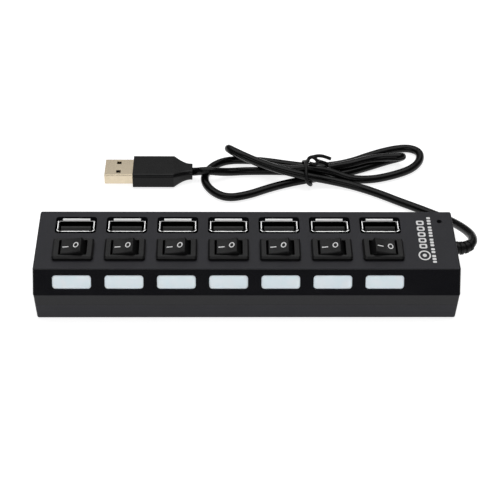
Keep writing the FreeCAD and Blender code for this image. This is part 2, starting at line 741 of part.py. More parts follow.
def make_board_parts():
    chips = []
    for k, (x, up) in enumerate(((-16.0, 15.5), (24.0, 15.5))):
        body = box(f"chip_{k}_body", ("chip_length", "chip_width", "chip_height"),
                   (f"{x} - chip_length / 2", f"{up} - chip_width / 2", on_board("chip_height", True)))
        leads = [
            box(f"chip_{k}_lead_{n}", ("0.35", "chip_width + 2 * chip_lead_reach", "0.25"),
                (f"{x} - 0.175 + chip_lead_pitch * {n}", f"{up} - chip_width / 2 - chip_lead_reach",
                 on_board("0.25", True)))
            for n in range(-5, 6)
        ]
        chips.append(fuse(f"chip_{k}", [body] + leads))
    keep(group("controller_chips_set", chips), "controller_chips", deck(0, 0))

    can = box("crystal_can", ("crystal_length", "crystal_width", "crystal_height"),
              ("5.5", "12", on_board("crystal_height", True)))
    round_can = rounded("crystal_round", can, "crystal_width / 2.2", upright)
    keep(round_can, "crystal", deck(0, 0))

    cans = [
        cylinder(f"capacitor_{k}", "capacitor_radius", "capacitor_height", (x, up, on_board("0")))
        for k, (x, up) in enumerate(((69.5, 15.0), (60.6, 15.0)))
    ]
    keep(group("filter_capacitors_set", cans), "filter_capacitors", deck(0, 0))

    chips = []
    for number, x in stations():
        for n, up in enumerate((5.0, 8.0)):
            chips.append(
                box(f"resistor_{number}_{n}", ("resistor_length", "resistor_width", "resistor_height"),
                    (f"{x} - resistor_length / 2", f"{up}", on_board("resistor_height", True)))
            )
    keep(group("chip_resistors_set", chips), "chip_resistors", deck(0, 0))


def make_lamps():
    lamps = [
        box(f"led_{number}", ("led_width", "led_depth", "led_height"),
            (f"{x} - led_width / 2", "led_line - led_depth / 2", on_board("0")))
        for number, x in stations()
    ]
    keep(group("port_leds_set", lamps), "port_leds", deck(0, 0))

    body = cylinder("power_led_body", "power_led_radius", "power_led_low - power_led_high",
                    ("0", "0", "0 - power_led_low"))
    dome = doc.addObject("Part::Sphere", "power_led_dome")
    bind(dome, Radius="power_led_radius", **{"Placement.Base.z": "0 - power_led_high"})
    leads = [
        box(f"power_led_lead_{k}", ("lead_width", "lead_width", "board_drop - power_led_low"),
            (f"{x} - lead_width / 2", "0 - lead_width / 2", "0 - board_drop"))
        for k, x in enumerate((-0.8, 0.8))
    ]
    lamp = fuse("power_led_solid", [body, dome] + leads)
    keep(lamp, "power_led", deck(value("power_led_across"), value("power_led_line")))


# Ports --------------------------------------------------------------------------------

def lip(name, length, flare, half, turn, corner=(0.0, 0.0)):
    """One flared lip of a receptacle, leaning out from a wall that is half away from the
    point it is turned about."""
    outline = [
        (f"{half} - shell_sheet", "0 - lip_height"),
        (f"{half} - shell_sheet + {flare}", "0"),
        (f"{half} + {flare}", "0"),
        (half, "0 - lip_height"),
    ]
    item = prism(name, outline, "YZ", length)
    turned = group(f"{name}_turned", [item])
    turned.Placement = Placement(Vector(*corner, 0), Rotation(Vector(0, 0, 1), turn))
    return turned


def make_ports():
    contacts = []
    for number, x in stations():
        outer = rounded_box(
            f"shell_{number}_outer",
            *centred("shell_width", "shell_depth", "board_drop - lip_height", "0 - board_drop"),
            "shell_radius",
        )
        bore = rounded_box(
            f"shell_{number}_bore",
            *centred("shell_width - 2 * shell_sheet", "shell_depth - 2 * shell_sheet",
                     "board_drop + 2", "0 - board_drop - 1"),
            "shell_radius - shell_sheet / 2",
        )
        far = value("shell_width / 2 - shell_radius")
        near = value("shell_radius - shell_depth / 2")
        lips = [
            lip(f"shell_{number}_back_lip", "back_lip_length", "back_lip_flare",
                "shell_depth / 2", 0),
            lip(f"shell_{number}_front_lip", "front_lip_length", "front_lip_flare",
                "shell_depth / 2", 180),
            lip(f"shell_{number}_right_lip", "side_lip_length", "side_lip_flare",
                "shell_width / 2", -90),
            lip(f"shell_{number}_left_lip", "side_lip_length", "side_lip_flare",
                "shell_width / 2", 90),
            lip(f"shell_{number}_right_corner", "corner_lip_length", "corner_lip_flare",
                "shell_radius", -135, (far, near)),
            lip(f"shell_{number}_left_corner", "corner_lip_length", "corner_lip_flare",
                "shell_radius", 135, (-far, near)),
        ]
        tube = cut(f"shell_{number}_tube", outer, [bore])
        place = deck(x, value("port_line"))
        keep(fuse(f"shell_{number}", [tube] + lips), f"port_shell_{number}", place)

        block = box(
            f"tongue_{number}_block",
            *centred("shell_width - 2 * shell_sheet - 2 * insulator_gap - shell_radius",
                     "shell_depth - 2 * shell_sheet - 2 * insulator_gap", "insulator_height",
                     "0 - board_drop"),
        )
        front = "shell_sheet + tongue_gap - shell_depth / 2"
        blade = box(
            f"tongue_{number}_blade",
            ("tongue_width", "tongue_thickness", "board_drop - 1 - tongue_recess"),
            ("0 - tongue_width / 2", front, "1 - board_drop"),
        )
        high = -value("tongue_recess") - 0.01
        middle = value(f"{front} + tongue_thickness / 2")
        nose = rounded(
            f"tongue_{number}_bevel", blade, "tongue_bevel",
            lambda a, b: min(a.z, b.z) > high and max(a.y, b.y) < middle, "Part::Chamfer",
        )
        nose = rounded(
            f"tongue_{number}_nose", nose, "0.2",
            lambda a, b: min(a.z, b.z) > high and min(a.y, b.y) > middle,
        )
        keep(fuse(f"tongue_{number}", [block, nose]), f"port_tongue_{number}", place)

        strips = []
        for n, side in enumerate(("0 - power_contact_place", "0 - data_contact_place",
                                  "data_contact_place", "power_contact_place")):
            strips.append(
                box(f"contact_{number}_{n}",
                    ("contact_width", "contact_thickness",
                     "board_drop - insulator_height - contact_recess"),
                    (f"{side} - contact_width / 2", f"{front} + tongue_thickness",
                     "insulator_height - board_drop"))
            )
        placed = group(f"contacts_{number}", strips)
        placed.Placement = place
        contacts.append(placed)
    keep(group("port_contacts_set", contacts), "port_contacts")


# Switches -----------------------------------------------------------------------------

ROCKER_END = "( rocker_valley + rocker_half * tan( rocker_lean * 1 deg ) )"
ROCKER_OUTLINE = [
    ("0 - rocker_keel", "0 - rocker_drop"), ("0 - rocker_hip", "0 - rocker_hip_drop"),
    ("0 - rocker_waist", "0"), ("0 - rocker_half", ROCKER_END),
    ("0", "rocker_valley"),
    ("rocker_half", ROCKER_END), ("rocker_waist", "0"),
    ("rocker_hip", "0 - rocker_hip_drop"), ("rocker_keel", "0 - rocker_drop"),
]
LATCH_OUTLINE = [
    ("frame_width / 2 - 0.3", "0 - latch_low"), ("frame_width / 2 - 0.3", "0 - latch_high"),
    ("frame_width / 2 + latch_reach", "0 - latch_high"), ("frame_width / 2", "0 - latch_low"),
]


def make_switch_frame(number, place):
    name = f"frame_{number}"
    flange = rounded_box(
        f"{name}_flange_corners", *centred("flange_width", "flange_depth", "flange_height", "0"),
        "flange_radius",
    )
    top = value("flange_height")
    flange = rounded(
        f"{name}_flange", flange, "flange_bevel",
        lambda a, b: min(a.z, b.z) > top - 0.01, "Part::Chamfer",
    )
    body = box(f"{name}_body",
               *centred("frame_width", "frame_depth", "frame_height", "0 - frame_height"))
    latch = prism(f"{name}_latch", LATCH_OUTLINE, "XZ", "frame_depth / 2")
    other = group(f"{name}_latch_turned", [prism(f"{name}_latch_b", LATCH_OUTLINE, "XZ",
                                                 "frame_depth / 2")])
    other.Placement = Placement(Vector(), Rotation(Vector(0, 0, 1), 180))
    solid = fuse(f"{name}_solid", [flange, body, latch, other])
    opening = rounded_box(
        f"{name}_opening",
        *centred("opening_width", "opening_depth", "frame_height + flange_height",
                 "frame_floor - frame_height"), "0.4",
    )
    pins = cylinder(f"{name}_pins", "pin_hole_radius", "frame_depth + 1",
                    ("0", "0 - frame_depth / 2 - 0.5", "0 - pivot_drop"), "y")
    slots = [
        box(f"{name}_slot_{k}", ("terminal_thickness + 0.2", "terminal_width + 0.2", "frame_floor + 2"),
            (f"{x} - terminal_thickness / 2 - 0.1", "0 - terminal_width / 2 - 0.1",
             "0 - frame_height - 1"))
        for k, x in enumerate(("0", "0 - terminal_offset"))
    ]
    keep(cut(name, solid, [opening, pins] + slots), f"switch_frame_{number}", place)


def make_rocker(number, place):
    name = f"rocker_{number}"
    body = prism(f"{name}_body", ROCKER_OUTLINE, "XZ", "rocker_depth")
    low = value("rocker_valley") - 0.1
    body = rounded(
        f"{name}_valley", body, "rocker_valley_radius",
        lambda a, b: min(a.z, b.z) > low and max(abs(a.x), abs(b.x)) < 0.1,
    )
    body = rounded(
        f"{name}_edges", body, "rocker_edge_radius",
        lambda a, b: min(a.z, b.z) > low,
    )
    pins = cylinder(f"{name}_pins", "pin_radius", "pin_span", ("0", "0 - pin_span / 2", "0"), "y")
    keep(fuse(name, [body, pins]), f"rocker_{number}", place)


def make_terminals(number):
    centre = box(f"terminal_{number}_pole",
                 ("terminal_thickness", "terminal_width", "board_drop - pole_top"),
                 ("0 - terminal_thickness / 2", "0 - terminal_width / 2", "0 - board_drop"))
    side = box(f"terminal_{number}_contact",
               ("terminal_thickness", "terminal_width", "board_drop - contact_top"),
               ("0 - terminal_offset - terminal_thickness / 2", "0 - terminal_width / 2",
                "0 - board_drop"))
    return group(f"terminals_{number}", [centre, side])


def make_switches():
    """Six rockers rest with their left half pressed, and the last with its right half."""
    line = value("switch_line")
    terminals = []
    for number, x in stations():
        side = 1 if number == STATIONS else -1
        make_switch_frame(number, deck(x, line))
        make_rocker(number, deck(x, line, side * value("rocker_rest"), value("pivot_drop")))
        lever = box(f"lever_{number}",
                    *centred("lever_length", "lever_width", "lever_thickness",
                             "0 - lever_thickness / 2"))
        lever = group(f"lever_{number}_set", [lever])
        keep(lever, f"switch_lever_{number}",
             deck(x, line, -side * value("lever_lean"), value("lever_drop")))
        pair = make_terminals(number)
        pair.Placement = deck(x, line)
        terminals.append(pair)
    keep(group("switch_terminals_set", terminals), "switch_terminals")


# Windows ------------------------------------------------------------------------------

def make_light_guide():
    spots = [x for _, x in stations()]
    length = spots[-1] - spots[0] + value("window_width + 2 * guide_margin")
    middle = (spots[0] + spots[-1]) / 2
    strip = box(
        "guide_strip", (f"{length}", "guide_height", "guide_thickness"),
        (f"{middle - length / 2}", "window_line - guide_height / 2", "0 - wall - guide_thickness - 0.05"),
    )
    pads = []
    for number, x in stations():
        pad = rounded_box(
            f"pad_{number}",
            *centred("window_width - 2 * window_gap", "window_height - 2 * window_gap",
                     "wall + 0.3 - window_recess", "0 - wall - 0.3"),
            "window_radius - window_gap",
        )
        face = -value("window_recess") - 0.01
        pad = rounded(f"pad_{number}_edge", pad, "0.25", lambda a, b: min(a.z, b.z) > face)
        pocket = rounded_box(
            f"pocket_{number}",
            *centred("window_width - 2 * window_rim", "window_height - 2 * window_rim", "1",
                     "0 - window_recess - window_pocket"),
            "window_pocket_radius",
        )
        pad = cut(f"pad_{number}_pocketed", pad, [pocket])
        pad.Placement = Placement(Vector(x, value("window_line"), 0), Rotation())
        pads.append(pad)
    keep(fuse("light_guide_solid", [strip] + pads), "light_guide", facet(0, 0))


# Sockets and leads at the right end ---------------------------------------------------

def make_jack():
    axis = "jack_axis_height - board_drop"
    block = box("jack_block", ("jack_shoulder - jack_left", "jack_width", "jack_height"),
                ("jack_left", "0 - jack_width / 2", "0 - board_drop"))
    collar = cylinder("jack_collar", "jack_collar_radius", "jack_mouth - jack_shoulder + 1",
                      ("jack_shoulder - 1", "0", axis), "x")
    bore = cylinder("jack_bore", "jack_bore_radius", "jack_bore_depth + 1",
                    ("jack_mouth - jack_bore_depth", "0", axis), "x")
    place = deck(0, value("jack_line"))
    keep(cut("jack_solid", fuse("jack_body", [block, collar]), [bore]), "dc_jack", place)
    pin = cylinder("jack_pin", "jack_pin_radius", "jack_bore_depth - jack_pin_recess",
                   ("jack_mouth - jack_bore_depth", "0", axis), "x")
    pin = group("jack_pin_set", [pin])
    keep(pin, "dc_jack_pin", place)


def on_relief_bend(turned):
    """A placement on the strain relief's bent axis, z along it, after a turn in degrees."""
    centre = Vector(value("relief_bend"), value("outlet_back + relief_bend_radius"),
                    value("seam_height"))
    heading = Rotation(Vector(0, 0, 1), turned)
    spot = centre + heading.multVec(Vector(0, -value("relief_bend_radius"), 0))
    return Placement(spot, heading.multiply(Rotation(Vector(0, 1, 0), 90)))


def make_strain_relief():
    """A moulded sleeve whose ribbed end bends to the back with the cord."""
    steps = [
        ("flange", "relief_flange_radius", "relief_inner", "relief_flange_end"),
        ("neck", "relief_neck_radius", "relief_flange_end", "relief_shoulder"),
        ("root", "relief_root_radius", "relief_shoulder", "relief_bend"),
    ]
    solids = [
        cylinder(f"relief_{name}", radius, f"{last} - {first}",
                 (first, "outlet_back", "seam_height"), "x")
        for name, radius, first, last in steps
    ]
    core = doc.addObject("Part::Torus", "relief_core")
    bind(core, Radius1="relief_bend_radius", Radius2="relief_core_radius", Angle3="relief_turn")
    core.Placement = Placement(
        Vector(value("relief_bend"), value("outlet_back + relief_bend_radius"),
               value("seam_height")),
        Rotation(Vector(0, 0, 1), -90),
    )
    solids.append(core)
    ribs = 3
    step = math.degrees(value("relief_rib_pitch / relief_bend_radius"))
    half = math.degrees(value("relief_rib / relief_bend_radius")) / 2
    tip = value("relief_turn") - half - math.degrees(0.2 / value("relief_bend_radius"))
    for k in range(ribs):
        share = (k + 1) / ribs
        radius = value("relief_root_radius") * (1 - share) + value("relief_tip_radius") * share
        rib = doc.addObject("Part::Cylinder", f"relief_rib_{k}")
        bind(rib, Height="relief_rib")
        rib.Radius = radius
        middle = on_relief_bend(tip - step * (ribs - 1 - k))
        back = Placement(Vector(0, 0, -value("relief_rib") / 2), Rotation())
        rib.Placement = middle.multiply(back)
        solids.append(rib)
    keep(fuse("relief_solid", solids), "strain_relief")


def make_lead_wires():
    """Four wires from the strain relief down to the board."""
    start = Vector(value("relief_inner"), value("outlet_back - wire_shift"), value("seam_height"))
    wires = []
    for k in range(4):
        offset = (k - 1.5) * value("wire_spacing")
        up = (start.y + offset - value(ZERO_Y)) / math.cos(math.radians(value("deck_tilt")))
        end = deck(value("wire_end"), up - 2.0, drop=value("board_drop - wire_radius") - 0.15).Base
        first = start + Vector(0, offset, 0)
        run = end - first
        wire = doc.addObject("Part::Cylinder", f"wire_{k}")
        bind(wire, Radius="wire_radius")
        wire.Height = run.Length
        wire.Placement = Placement(first, Rotation(Vector(0, 0, 1), run))
        wires.append(wire)
    keep(group("lead_wires_set", wires), "lead_wires")


# Cord ---------------------------------------------------------------------------------

def rounded_path(corners):
    """Straight runs joined by tangent arcs. Prints the radius of each arc."""
    points = [Vector(*corner) for corner in corners]
    edges = []
    start = points[0]
    radii = []
    for before, corner, after in zip(points, points[1:], points[2:]):
        back = (before - corner).normalize()
        ahead = (after - corner).normalize()
        half_turn = (math.pi - back.getAngle(ahead)) / 2
        shorter = min((before - corner).Length, (after - corner).Length)
        setback = 0.45 * shorter
        radius = setback / math.tan(half_turn)
        radii.append(radius)
        first = corner + back * setback
        last = corner + ahead * setback
        inward = (back + ahead).normalize()
        middle = corner + inward * (radius / math.cos(half_turn) - radius)
        edges.append(Part.LineSegment(start, first).toShape())
        edges.append(Part.Arc(first, middle, last).toShape())
        start = last
    edges.append(Part.LineSegment(start, points[-1]).toShape())
    print("bend radii:", " ".join(f"{radius:.1f}" for radius in radii))
    return Part.Wire(edges)


def make_tube(name, corners):
    """A round tube along a route; its volume has to be its section times its length."""
    radius = value("cord_radius")
    path = rounded_path(corners)
    heading = path.Edges[0].tangentAt(path.Edges[0].FirstParameter)
    ring = Part.Wire([Part.makeCircle(radius, Vector(*corners[0]), heading)])
    solid = path.makePipeShell([ring], True, False)
    expected = math.pi * radius ** 2 * path.Length
    print(f"{name}: length {path.Length:.1f}, volume ratio {solid.Volume / expected:.4f}")
    item = doc.addObject("Part::Feature", f"{name}_solid")
    item.Shape = solid
    keep(item, name)


def smooth_face(points):
    curve = Part.BSplineCurve()
    curve.interpolate([Vector(x, y, 0) for x, y in points], PeriodicFlag=True)
    return Part.Face(Part.Wire([curve.toShape()]))


def lobe(outline, openings, low=0.0, high="hank_height"):
    face = smooth_face(outline)
    for opening in openings:
        face = face.cut(smooth_face(opening))
    face.translate(Vector(0, 0, low))
    return face.extrude(Vector(0, 0, value(high) - low))


def make_hank():
    """The folded cord on both sides of the tie, as one closed solid."""
    middle = Vector(value("tie_across"), value("tie_back"), value("tie_height"))
    half = value("waist_half")
    waist = Part.makeCylinder(
        value("waist_radius"), 2 * half, middle - Vector(half, 0, 0), Vector(1, 0, 0)
    )
    item = doc.addObject("Part::Feature", "hank_solid")
    fold = lobe(LEFT_FOLD, [], value("fold_low"), "fold_high")
    item.Shape = lobe(LEFT_LOBE, LEFT_OPENINGS).fuse(
        [fold, lobe(RIGHT_LOBE, RIGHT_OPENINGS), waist]
    )
    keep(item, "cord_hank")


def make_twist_tie():
    ring = doc.addObject("Part::Torus", "tie_ring")
    bind(ring, Radius1="tie_radius", Radius2="tie_wire_radius")
    ring.Placement = Placement(Vector(), Rotation(Vector(0, 1, 0), 90))
    tail = doc.addObject("Part::Cylinder", "tie_tail")
    bind(tail, Radius="1.5 * tie_wire_radius", Height="tail_length")
    top = Vector(0, 2.2, value("tie_radius") - 0.3)
    tail.Placement = Placement(top, Rotation(Vector(0, 0, 1), Vector(1.0, 0.45, 0.1)))
    place = Placement(
        Vector(value("tie_across"), value("tie_back"), value("tie_height")), Rotation()
    )
    keep(fuse("tie_solid", [ring, tail]), "twist_tie", place)


# Plug ---------------------------------------------------------------------------------
# Its own frame: x towards the cord with 0 at the neck's end, y to the back, z up.

def rounded_section(x, width, height, radius):
    """A rounded rectangle across the plug's axis."""
    w = width / 2
    h = height / 2
    c = radius * (1 - math.sqrt(0.5))
    edges = []
    spots = [(1, 1), (-1, 1), (-1, -1), (1, -1)]
    for k, (sy, sz) in enumerate(spots):
        side = Vector(x, sy * w, sz * (h - radius))
        cap = Vector(x, sy * (w - radius), sz * h)
        first, last = (side, cap) if k % 2 == 0 else (cap, side)
        middle = Vector(x, sy * (w - c), sz * (h - c))
        if edges:
            edges.append(Part.LineSegment(end, first).toShape())
        else:
            begin = first
        edges.append(Part.Arc(first, middle, last).toShape())
        end = last
    edges.append(Part.LineSegment(end, begin).toShape())
    return Part.Wire(edges)


def make_plug():
    place = Placement(
        Vector(value("plug_end"), value("plug_back"), value("plug_axis_height")), Rotation()
    )
    taper = value("taper_length")
    grip = [value(f"grip_{size}") for size in ("width", "height", "radius")]
    neck = [value(f"neck_{size}") for size in ("width", "height", "radius")]
    # The taper is hollow-curved: most of the width is gone in its first half.
    stations_along = [(1.0, 0.0), (0.62, 0.6), (0.3, 0.93), (0.0, 1.0)]
    sections = [
        rounded_section(-taper * along, *(g + (n - g) * share for g, n in zip(grip, neck)))
        for along, share in stations_along
    ]
    cone = Part.makeLoft(sections, True, False)
    straight = Part.makeLoft(
        [rounded_section(-value("grip_length"), *grip), rounded_section(-taper, *grip)], True, True
    )
    seat = Part.makeBox(
        value("plug_depth"), value("plug_width"), value("plug_height"),
        Vector(-value("grip_length"), -value("plug_width") / 2, -value("plug_height") / 2),
    )
    body = doc.addObject("Part::Feature", "plug_body_solid")
    body.Shape = straight.fuse(cone).removeSplitter().cut(seat)
    keep(body, "plug_body", place)

    tip = "0 - grip_length - plug_reach"
    length = "plug_reach + plug_depth"
    outer = box("plug_outer", (length, "plug_width", "plug_height"),
                (tip, "0 - plug_width / 2", "0 - plug_height / 2"))
    outer = rounded("plug_outer_round", outer, "plug_radius",
                    lambda a, b: abs(a.x - b.x) > 5)
    bore = box("plug_bore", (f"{length} + 1", "plug_width - 2 * plug_sheet",
                             "plug_height - 2 * plug_sheet"),
               (f"{tip} - 1", "plug_sheet - plug_width / 2", "plug_sheet - plug_height / 2"))
    holes = [
        box(f"latch_hole_{k}", ("latch_hole", "latch_hole", "2 * plug_height"),
            (f"{tip} + latch_hole_place - latch_hole / 2",
             f"{side} * latch_hole_apart / 2 - latch_hole / 2", "0 - plug_height"))
        for k, side in enumerate((-1, 1))
    ]
    keep(cut("plug_shell_solid", outer, [bore] + holes), "plug_shell", place)

    low = "plug_sheet - plug_height / 2"
    tongue = box("plug_tongue_block", (f"{length} - plug_tongue_recess", "plug_tongue_width",
                                       "plug_tongue_height"),
                 (f"{tip} + plug_tongue_recess", "0 - plug_tongue_width / 2", low))
    keep(group("plug_tongue_set", [tongue]), "plug_tongue", place)

    strips = [
        box(f"strip_{k}", ("strip_length", "plug_contact_width", "plug_contact_height"),
            (f"{tip} + {recess}", f"{side} - plug_contact_width / 2", f"{low} + plug_tongue_height"))
        for k, (side, recess) in enumerate((
            ("0 - power_contact_place", "power_strip_recess"),
            ("0 - data_contact_place", "data_strip_recess"),
            ("data_contact_place", "data_strip_recess"),
            ("power_contact_place", "power_strip_recess"),
        ))
    ]
    keep(group("plug_contacts_set", strips), "plug_contacts", place)


# Checks and export --------------------------------------------------------------------

def check_and_export():
    doc.recompute()
    failed = [item.Name for item in doc.Objects if {"Invalid", "Error"} & set(item.State)]
    for item in kept:
        if item.Shape.isNull() or not item.Shape.isValid() or item.Shape.Volume <= 0:
            failed.append(item.Label)
    if failed:
        raise RuntimeError(f"these objects failed: {failed}")
    os.makedirs("parts", exist_ok=True)
    for item in kept:
        item.Shape.exportStep(f"parts/{item.Label}.step")
    print(len(kept), "parts written")


fill_sheet()
make_top_cover()
make_base_cover()
make_cover_screws()
make_circuit_board()
make_board_parts()
make_lamps()
make_ports()
make_switches()
make_light_guide()
make_jack()
make_strain_relief()
make_lead_wires()
make_tube("cord_lead", CORD_FROM_CASE)
make_hank()
make_tube("cord_plug_lead", CORD_TO_PLUG)
make_twist_tie()
make_plug()
check_and_export()
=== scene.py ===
"""Looks for the seven-port USB hub: materials, marks, cord, tie, floor, lights, camera.

Lengths are in millimetres and take MM where they enter Blender, and angles are in
degrees. Only the lights' places and sizes are in metres. The hub's places and tilt come
from the frame: its rockers' joints and its nodes' boxes.
"""
import json
import math

import bmesh
import bpy
from mathutils import Matrix, Vector


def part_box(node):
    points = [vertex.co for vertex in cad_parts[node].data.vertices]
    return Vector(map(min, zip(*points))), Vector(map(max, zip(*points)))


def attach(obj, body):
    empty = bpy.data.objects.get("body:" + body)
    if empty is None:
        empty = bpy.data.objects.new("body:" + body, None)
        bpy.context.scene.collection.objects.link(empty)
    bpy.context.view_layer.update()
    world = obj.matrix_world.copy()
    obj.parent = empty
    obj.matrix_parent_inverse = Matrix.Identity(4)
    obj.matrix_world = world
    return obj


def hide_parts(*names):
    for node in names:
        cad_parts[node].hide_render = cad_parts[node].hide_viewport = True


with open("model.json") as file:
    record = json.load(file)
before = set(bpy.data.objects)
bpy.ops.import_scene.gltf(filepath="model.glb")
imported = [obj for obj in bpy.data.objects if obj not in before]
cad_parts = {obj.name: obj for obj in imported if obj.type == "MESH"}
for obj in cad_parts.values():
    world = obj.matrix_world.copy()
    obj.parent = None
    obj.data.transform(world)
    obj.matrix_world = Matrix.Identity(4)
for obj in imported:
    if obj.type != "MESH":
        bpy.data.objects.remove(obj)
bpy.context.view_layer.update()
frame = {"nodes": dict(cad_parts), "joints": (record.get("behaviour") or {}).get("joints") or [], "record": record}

MM = 0.001
nodes = frame["nodes"]
joints = {joint["name"]: joint for joint in frame["joints"]}
STATIONS = range(1, 8)
HUB = "hub"

# Places on the deck -----------------------------------------------------------------

# The rockers' pins lie this far under the deck and this far up its slope.
PIVOT_DROP = 1.0
SWITCH_LINE = 9.86
# The crease between the window facet and the deck is this far up the deck's slope.
DECK_FRONT = 0.66


def pivot(number):
    return Vector(joints[f"rocker_{number}_tilt"]["pos_m"]) / MM


HINGE = Vector(joints["rocker_1_tilt"]["axis"])
TILT = math.atan2(HINGE.z, HINGE.y)
DECK_NORMAL = Vector((0, -math.sin(TILT), math.cos(TILT)))


def deck(across, up, lift=0.0):
    """A frame on the deck, in millimetres: x across, y up the slope, z out of it."""
    origin = pivot(1) + HINGE * (up - SWITCH_LINE) + DECK_NORMAL * (PIVOT_DROP + lift)
    origin.x = across
    return Matrix.Translation(origin) @ Matrix.Rotation(TILT, 4, "X")


def facet():
    """A frame on the window facet: its origin is the foot of the facet, at the seam."""
    crease = deck(0, DECK_FRONT).translation
    _, front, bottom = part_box("top_cover")[0]
    foot = Vector((0, front / MM, bottom / MM))
    angle = math.atan2(crease.z - foot.z, crease.y - foot.y)
    return Matrix.Translation(foot) @ Matrix.Rotation(angle, 4, "X")


def plane(place):
    """The normal of a frame's floor, and how far along that normal the floor lies."""
    normal = place.to_3x3() @ Vector((0, 0, 1))
    return normal, normal.dot(place.translation)


# Materials --------------------------------------------------------------------------

# A noise texture's factor seldom leaves this range.
NOISE_LOW, NOISE_HIGH = 0.3, 0.7
# The case is glossy where it lies less than this far under the window facet.
GLOSS_DEPTH = 0.03
# At this depth under the deck a port's shell turns from its bright plating to painted shade, dark down in the
# mouth, over a fade of this length.
PAINTED_SHADE_DEPTH = 0.6
PAINTED_SHADE_FADE = 0.6


class Surface:
    """A Principled material. Grain sizes are in millimetres on the object itself."""

    def __init__(self, name, **sockets):
        self.material = bpy.data.materials.new(name)
        self.material.use_nodes = True
        self.tree = self.material.node_tree
        self.shader = self.tree.nodes["Principled BSDF"]
        for socket, setting in sockets.items():
            self.shader.inputs[socket.replace("_", " ")].default_value = setting
        self.place = self.add("ShaderNodeTexCoord").outputs["Object"]

    def add(self, kind, inputs=None, **settings):
        node = self.tree.nodes.new(kind)
        for name, setting in settings.items():
            setattr(node, name, setting)
        for name, source in (inputs or {}).items():
            if isinstance(source, bpy.types.NodeSocket):
                self.tree.links.new(source, node.inputs[name])
            else:
                node.inputs[name].default_value = source
        return node

    def math(self, operation, first, second):
        sockets = {0: first, 1: second}
        return self.add("ShaderNodeMath", sockets, operation=operation).outputs[0]

    def vector_math(self, operation, first, second, output):
        sockets = {0: first, 1: second}
        node = self.add("ShaderNodeVectorMath", sockets, operation=operation)
        return node.outputs[output]

    def along(self, direction):
        """How far each point of the object lies along a direction, in metres."""
        return self.vector_math("DOT_PRODUCT", self.place, direction, "Value")

    def noise(self, size, detail=2.0, stretch=None):
        place = self.place
        if stretch:
            place = self.vector_math("MULTIPLY", place, stretch, "Vector")
        sockets = {"Vector": place, "Scale": 1 / (size * MM), "Detail": detail}
        return self.add("ShaderNodeTexNoise", sockets).outputs["Fac"]

    def ramp(self, source, start, end, low=0.0, high=1.0):
        """A number that goes from low to high as the source goes from start to end."""
        sockets = {
            "Value": source, "From Min": start, "From Max": end, "To Min": low,
            "To Max": high,
        }
        return self.add("ShaderNodeMapRange", sockets).outputs[0]

    def between(self, noise, low, high):
        return self.ramp(noise, NOISE_LOW, NOISE_HIGH, low, high)

    def mix(self, factor, first, second):
        """Goes from one number to another: a Mix node's inputs 2 and 3."""
        sockets = {"Factor": factor, 2: first, 3: second}
        return self.add("ShaderNodeMix", sockets).outputs[0]

    def blend(self, factor, first, second):
        """Goes from one colour to another: a Mix node's inputs 6 and 7."""
        sockets = {"Factor": factor, 6: first, 7: second}
        return self.add("ShaderNodeMix", sockets, data_type="RGBA").outputs[2]

    def shade(self, noise, dark, light):
        """A colour that varies with a noise."""
        return self.blend(self.between(noise, 0.0, 1.0), dark, light)

    def tint(self, noise, dark, light):
        self.link("Base Color", self.shade(noise, dark, light))

    def link(self, socket, source):
        self.tree.links.new(source, self.shader.inputs[socket])

    def bump(self, height, depth):
        """Height is a factor from 0 to 1, which stands depth millimetres high."""
        sockets = {"Height": height, "Distance": depth * MM, "Strength": 1.0}
        if self.shader.inputs["Normal"].is_linked:
            sockets["Normal"] = self.shader.inputs["Normal"].links[0].from_socket
        self.link("Normal", self.add("ShaderNodeBump", sockets).outputs["Normal"])


def grey(level, blue=0.0):
    return (level, level, level * (1 + blue), 1.0)


def case_surface():
    """Fine-textured black plastic, smooth and glossy on the window facet alone."""
    surface = Surface("case", IOR=1.5, Specular_IOR_Level=0.28)
    grain = surface.noise(0.34, 3.0)
    patch = surface.noise(9.0, 3.0)
    normal, level = plane(facet())
    on_facet = surface.math(
        "GREATER_THAN", surface.along(normal), (level - GLOSS_DEPTH) * MM
    )
    matte = surface.shade(patch, grey(0.011, 0.35), grey(0.014, 0.35))
    surface.link("Base Color", surface.blend(on_facet, matte, grey(0.006, 0.3)))
    rough = surface.between(grain, 0.46, 0.58)
    smooth = surface.between(patch, 0.14, 0.2)
    surface.link("Roughness", surface.mix(on_facet, rough, smooth))
    texture = surface.math("MULTIPLY", grain, surface.math("SUBTRACT", 1.0, on_facet))
    surface.bump(texture, 0.05)
    return surface.material


def plastic(name, dark, light, rough, grain_size=0.25, grain_depth=0.02, **sockets):
    surface = Surface(name, IOR=1.5, **{"Specular_IOR_Level": 0.2, **sockets})
    grain = surface.noise(grain_size, 3.0)
    patch = surface.noise(grain_size * 20, 2.0)
    surface.tint(patch, dark, light)
    surface.link("Roughness", surface.between(grain, rough - 0.05, rough + 0.06))
    surface.bump(grain, grain_depth)
    return surface.material


def steel(name, dark, light, rough, stretch=(1, 1, 1)):
    """Plated sheet steel with faint rolling lines and dull patches."""
    surface = Surface(name, Metallic=1.0)
    lines = surface.noise(0.5, 3.0, stretch)
    patch = surface.noise(4.0, 3.0)
    surface.tint(patch, dark, light)
    surface.link("Roughness", surface.between(patch, rough - 0.04, rough + 0.07))
    surface.bump(lines, 0.004)
    return surface.material


